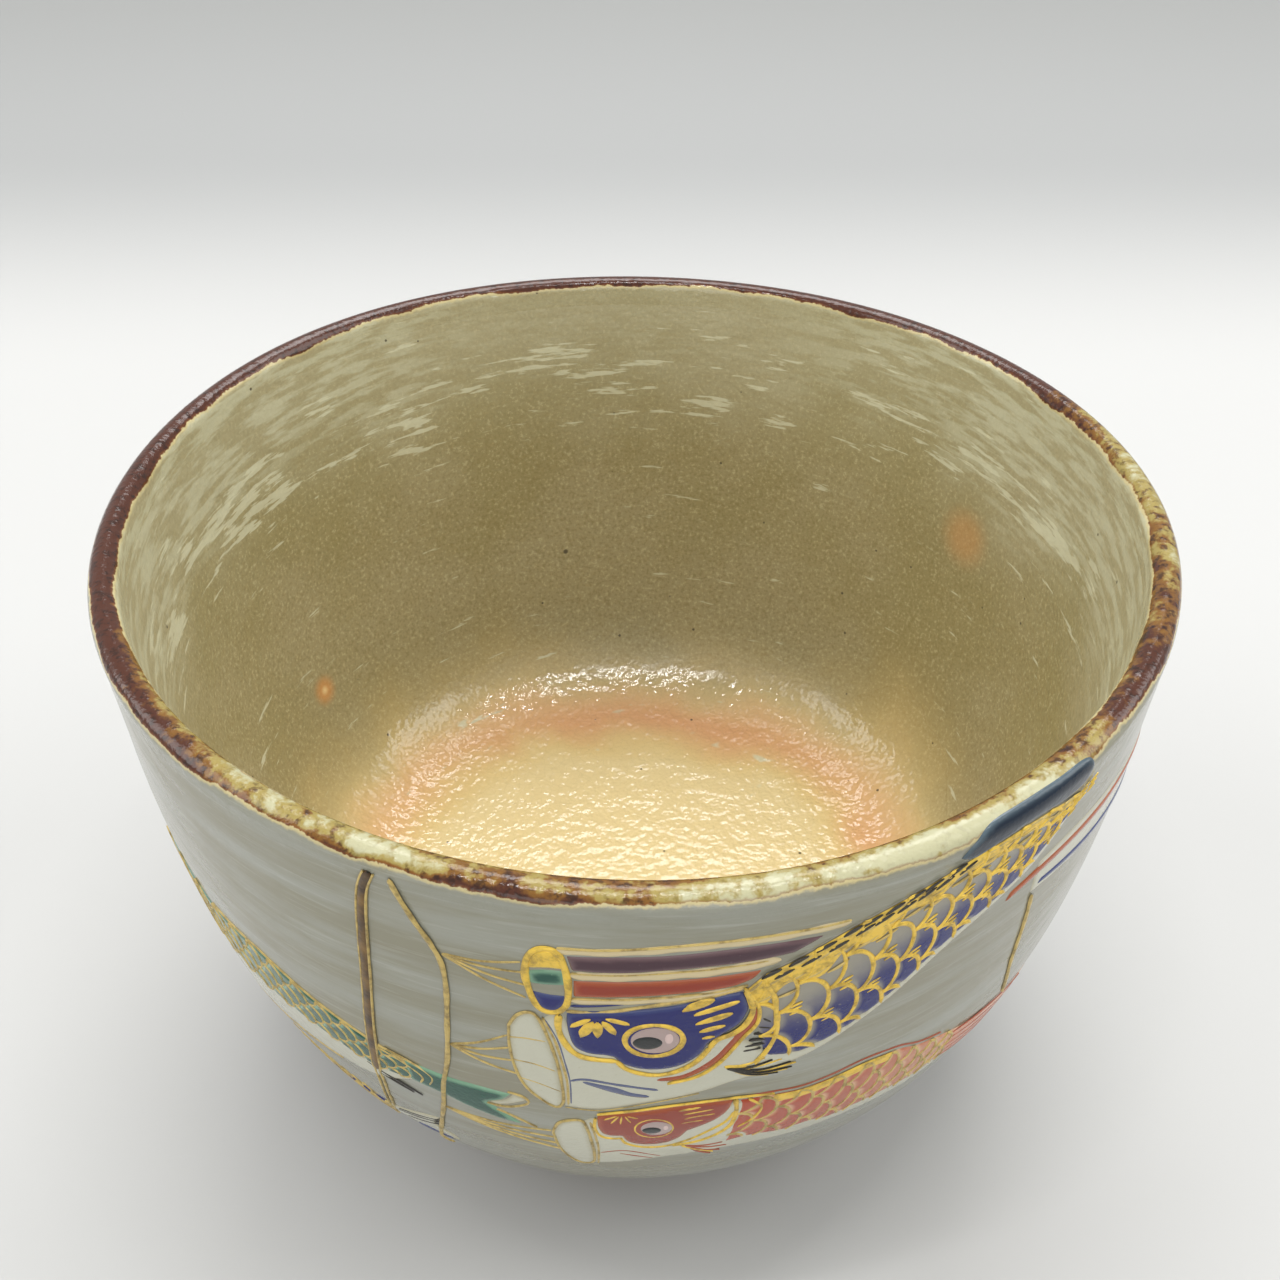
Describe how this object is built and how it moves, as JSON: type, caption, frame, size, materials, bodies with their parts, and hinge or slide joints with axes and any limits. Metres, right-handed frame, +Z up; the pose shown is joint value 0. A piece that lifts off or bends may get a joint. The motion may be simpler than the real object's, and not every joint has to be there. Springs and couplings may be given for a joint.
{
  "type": "tea bowl",
  "caption": "Round stoneware tea bowl on a turned foot ring, with an iron-brown lip and carp streamers painted round the outside in raised enamel and gold.",
  "frame": {"origin": "centre of the foot ring on the surface that the bowl stands on", "axes": "+Z up along the bowl's axis; the painted front faces -Y, with +X to its right"},
  "size_m": [0.1228, 0.1224, 0.0801],
  "materials": {
    "raw_clay": "unglazed, matt",
    "inside_glaze": "gloss, crackled",
    "outside_glaze": "gloss",
    "iron_glaze": "gloss",
    "white_enamel": "gloss",
    "blue_enamel": "gloss",
    "red_enamel": "gloss",
    "green_enamel": "gloss",
    "purple_enamel": "gloss",
    "black_enamel": "gloss",
    "brown_line": "satin",
    "gold": "fired gold, satin"
  },
  "bodies": {
    "root": {"clay_body": "raw_clay", "foot_ring": "raw_clay", "inside_glaze": "inside_glaze", "outside_glaze": "outside_glaze", "iron_lip": "iron_glaze", "streamer_mouth": "gold", "streamer_purple": "purple_enamel", "streamer_red": "red_enamel", "streamer_red_tail": "red_enamel", "streamer_navy_tail": "blue_enamel", "blue_carp_mouth": "white_enamel", "blue_carp_head": "blue_enamel", "blue_carp_scales": "blue_enamel", "blue_carp_back_fin": "blue_enamel", "blue_carp_eye": "black_enamel", "red_carp_mouth": "white_enamel", "red_carp_head": "red_enamel", "red_carp_scales": "red_enamel", "red_carp_tail": "red_enamel", "red_carp_eye": "black_enamel", "green_carp_mouth": "white_enamel", "green_carp_head": "green_enamel", "green_carp_scales": "green_enamel", "green_carp_tail": "green_enamel", "green_carp_eye": "black_enamel", "navy_carp_mouth": "white_enamel", "navy_carp_head": "blue_enamel", "navy_carp_scales": "blue_enamel", "navy_carp_tail": "blue_enamel", "navy_carp_eye": "black_enamel", "front_pole": "brown_line", "left_pole": "brown_line", "front_cord": "gold", "right_cord": "gold"}
  },
  "joints": []
}
